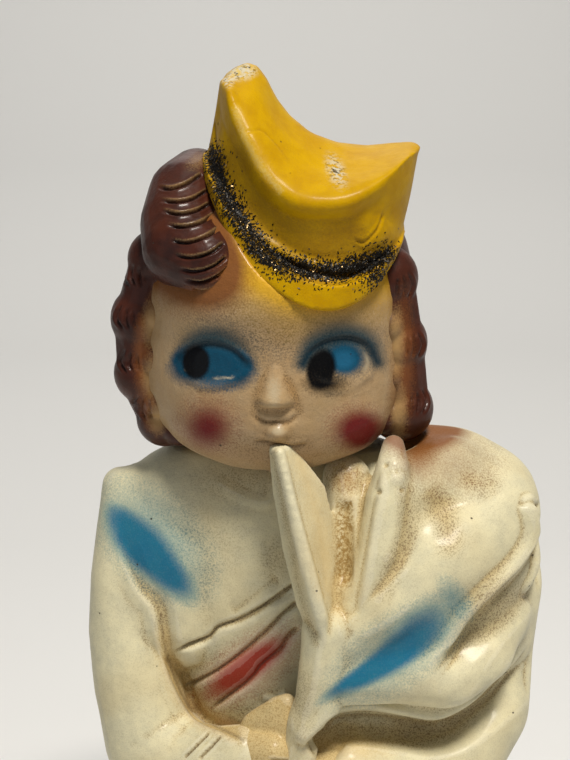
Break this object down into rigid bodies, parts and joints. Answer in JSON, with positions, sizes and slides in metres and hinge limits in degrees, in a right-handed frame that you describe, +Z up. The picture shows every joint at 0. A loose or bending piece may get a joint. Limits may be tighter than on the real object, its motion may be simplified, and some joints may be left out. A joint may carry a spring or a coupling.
{
  "type": "chalkware figure",
  "caption": "Free-standing hollow plaster figurine of a girl in a peaked side cap, holding a bag of pipes, on a round plinth that it stands on.",
  "frame": {"origin": "middle of the plinth's underside, on the axis of the drain hole", "axes": "+Z up through the figure; the figure faces -Y; +X is the figure's own left"},
  "size_m": [0.1524, 0.1169, 0.3563],
  "materials": {
    "cream_plaster": "lacquered cream plaster with sprayed colour and grime",
    "skin_plaster": "lacquered flesh-coloured plaster",
    "hair_plaster": "lacquered red-brown paint over plaster",
    "yellow_plaster": "lacquered golden yellow paint over plaster",
    "red_plaster": "lacquered red paint over plaster",
    "blue_plaster": "lacquered blue paint over plaster",
    "glitter": "dark glitter flakes in clear glue"
  },
  "bodies": {
    "root": {"base": "cream_plaster", "legs": "skin_plaster", "sock_cuffs": "red_plaster", "shoe_right": "blue_plaster", "shoe_left": "blue_plaster", "kilt": "cream_plaster", "belt": "red_plaster", "torso": "cream_plaster", "neck": "skin_plaster", "sleeve_right": "cream_plaster", "sleeve_left": "cream_plaster", "hand_right": "skin_plaster", "hand_left": "skin_plaster", "sash": "cream_plaster", "pipe_bag": "cream_plaster", "blowpipe": "cream_plaster", "drone": "cream_plaster", "chanter": "cream_plaster", "head": "skin_plaster", "hair_back": "hair_plaster", "hair_wave": "hair_plaster", "curls_right": "hair_plaster", "curls_left": "hair_plaster", "cap_crown": "yellow_plaster", "cap_flap": "yellow_plaster", "glitter_band": "glitter"}
  },
  "joints": []
}
